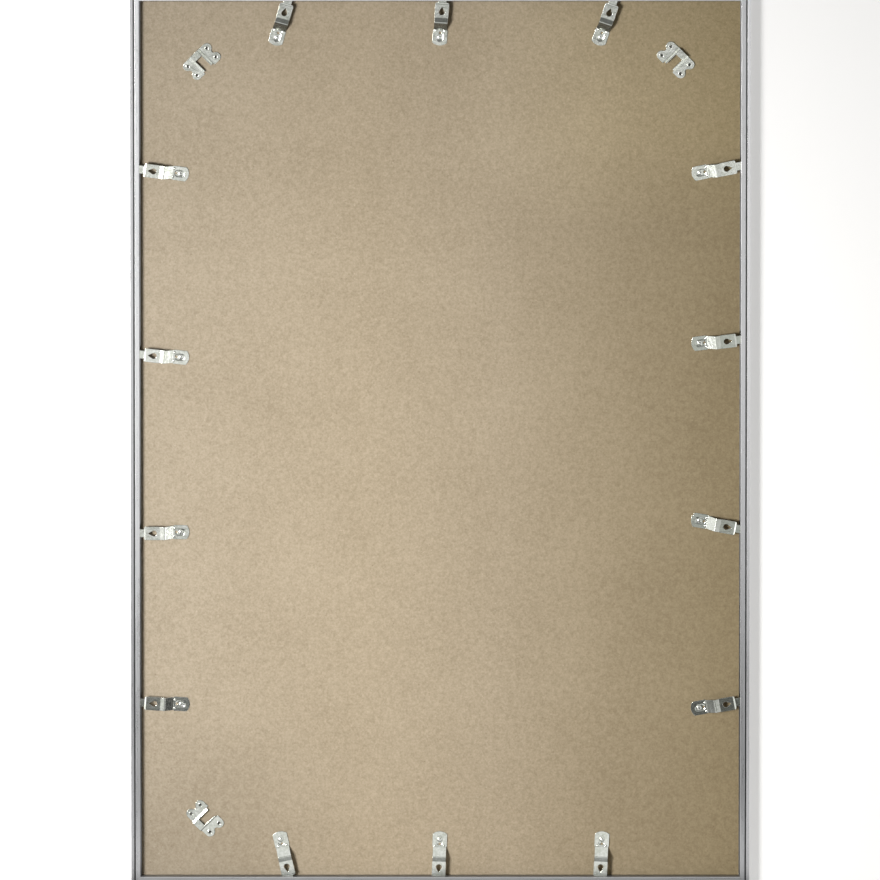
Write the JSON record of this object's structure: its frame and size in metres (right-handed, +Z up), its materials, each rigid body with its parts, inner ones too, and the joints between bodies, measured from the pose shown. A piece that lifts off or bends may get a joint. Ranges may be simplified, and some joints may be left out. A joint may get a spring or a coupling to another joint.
{
  "type": "poster frame",
  "caption": "Slim aluminium poster frame with a clear front, a hardboard back held by riveted turn clips, and raised hangers for hanging it upright or sideways.",
  "frame": {"origin": "middle of the frame's outer box", "axes": "+Z up the long sides, +Y out of the back towards the wall, display face towards -Y, +X to the right seen from the display side"},
  "size_m": [0.6306, 0.015, 0.9356],
  "materials": {
    "rail_aluminium": "satin",
    "key_steel": "satin",
    "clear_acrylic": "polished",
    "insert_paper": "matte",
    "hardboard": "matte",
    "zinc_steel": "satin"
  },
  "bodies": {
    "frame": {"rail_bottom": "rail_aluminium", "rail_top": "rail_aluminium", "rail_right": "rail_aluminium", "rail_left": "rail_aluminium", "corner_key_bottom_left": "key_steel", "corner_key_top_left": "key_steel", "corner_key_top_right": "key_steel", "corner_key_bottom_right": "key_steel", "glazing": "clear_acrylic", "insert": "insert_paper", "back_panel": "hardboard", "clip_rivet_top_1": "zinc_steel", "clip_rivet_top_2": "zinc_steel", "clip_rivet_top_3": "zinc_steel", "clip_rivet_bottom_1": "zinc_steel", "clip_rivet_bottom_2": "zinc_steel", "clip_rivet_bottom_3": "zinc_steel", "clip_rivet_right_1": "zinc_steel", "clip_rivet_right_2": "zinc_steel", "clip_rivet_right_3": "zinc_steel", "clip_rivet_right_4": "zinc_steel", "clip_rivet_left_1": "zinc_steel", "clip_rivet_left_2": "zinc_steel", "clip_rivet_left_3": "zinc_steel", "clip_rivet_left_4": "zinc_steel", "hanger_top_right": "zinc_steel", "hanger_rivet_top_right_1": "zinc_steel", "hanger_rivet_top_right_2": "zinc_steel", "hanger_rivet_top_right_3": "zinc_steel", "hanger_rivet_top_right_4": "zinc_steel", "hanger_top_left": "zinc_steel", "hanger_rivet_top_left_1": "zinc_steel", "hanger_rivet_top_left_2": "zinc_steel", "hanger_rivet_top_left_3": "zinc_steel", "hanger_rivet_top_left_4": "zinc_steel", "hanger_bottom_right": "zinc_steel", "hanger_rivet_bottom_right_1": "zinc_steel", "hanger_rivet_bottom_right_2": "zinc_steel", "hanger_rivet_bottom_right_3": "zinc_steel", "hanger_rivet_bottom_right_4": "zinc_steel"},
    "clip_top_1": {"turn_clip_top_1": "zinc_steel"},
    "clip_top_2": {"turn_clip_top_2": "zinc_steel"},
    "clip_top_3": {"turn_clip_top_3": "zinc_steel"},
    "clip_bottom_1": {"turn_clip_bottom_1": "zinc_steel"},
    "clip_bottom_2": {"turn_clip_bottom_2": "zinc_steel"},
    "clip_bottom_3": {"turn_clip_bottom_3": "zinc_steel"},
    "clip_right_1": {"turn_clip_right_1": "zinc_steel"},
    "clip_right_2": {"turn_clip_right_2": "zinc_steel"},
    "clip_right_3": {"turn_clip_right_3": "zinc_steel"},
    "clip_right_4": {"turn_clip_right_4": "zinc_steel"},
    "clip_left_1": {"turn_clip_left_1": "zinc_steel"},
    "clip_left_2": {"turn_clip_left_2": "zinc_steel"},
    "clip_left_3": {"turn_clip_left_3": "zinc_steel"},
    "clip_left_4": {"turn_clip_left_4": "zinc_steel"}
  },
  "joints": [
    {"name": "clip_top_1_turn", "type": "hinge", "parent": "frame", "child": "clip_top_1", "pos_m": [0.1658, -0.00105, 0.41885], "axis": [0, 1, 0], "range_deg": [-180, 180]},
    {"name": "clip_top_2_turn", "type": "hinge", "parent": "frame", "child": "clip_top_2", "pos_m": [0.0004, -0.00105, 0.41885], "axis": [0, 1, 0], "range_deg": [-180, 180]},
    {"name": "clip_top_3_turn", "type": "hinge", "parent": "frame", "child": "clip_top_3", "pos_m": [-0.1625, -0.00105, 0.41885], "axis": [0, 1, 0], "range_deg": [-180, 180]},
    {"name": "clip_bottom_1_turn", "type": "hinge", "parent": "frame", "child": "clip_bottom_1", "pos_m": [0.1626, -0.00105, -0.42075], "axis": [0, 1, 0], "range_deg": [-180, 180]},
    {"name": "clip_bottom_2_turn", "type": "hinge", "parent": "frame", "child": "clip_bottom_2", "pos_m": [0.0004, -0.00105, -0.42075], "axis": [0, 1, 0], "range_deg": [-180, 180]},
    {"name": "clip_bottom_3_turn", "type": "hinge", "parent": "frame", "child": "clip_bottom_3", "pos_m": [-0.165, -0.00105, -0.42075], "axis": [0, 1, 0], "range_deg": [-180, 180]},
    {"name": "clip_right_1_turn", "type": "hinge", "parent": "frame", "child": "clip_right_1", "pos_m": [0.264, -0.00105, 0.27665], "axis": [0, 1, 0], "range_deg": [-180, 180]},
    {"name": "clip_right_2_turn", "type": "hinge", "parent": "frame", "child": "clip_right_2", "pos_m": [0.264, -0.00105, 0.08485], "axis": [0, 1, 0], "range_deg": [-180, 180]},
    {"name": "clip_right_3_turn", "type": "hinge", "parent": "frame", "child": "clip_right_3", "pos_m": [0.264, -0.00105, -0.09815], "axis": [0, 1, 0], "range_deg": [-180, 180]},
    {"name": "clip_right_4_turn", "type": "hinge", "parent": "frame", "child": "clip_right_4", "pos_m": [0.264, -0.00105, -0.27845], "axis": [0, 1, 0], "range_deg": [-180, 180]},
    {"name": "clip_left_1_turn", "type": "hinge", "parent": "frame", "child": "clip_left_1", "pos_m": [-0.264, -0.00105, 0.27765], "axis": [0, 1, 0], "range_deg": [-180, 180]},
    {"name": "clip_left_2_turn", "type": "hinge", "parent": "frame", "child": "clip_left_2", "pos_m": [-0.264, -0.00105, 0.09955], "axis": [0, 1, 0], "range_deg": [-180, 180]},
    {"name": "clip_left_3_turn", "type": "hinge", "parent": "frame", "child": "clip_left_3", "pos_m": [-0.264, -0.00105, -0.08605], "axis": [0, 1, 0], "range_deg": [-180, 180]},
    {"name": "clip_left_4_turn", "type": "hinge", "parent": "frame", "child": "clip_left_4", "pos_m": [-0.264, -0.00105, -0.28235], "axis": [0, 1, 0], "range_deg": [-180, 180]}
  ]
}
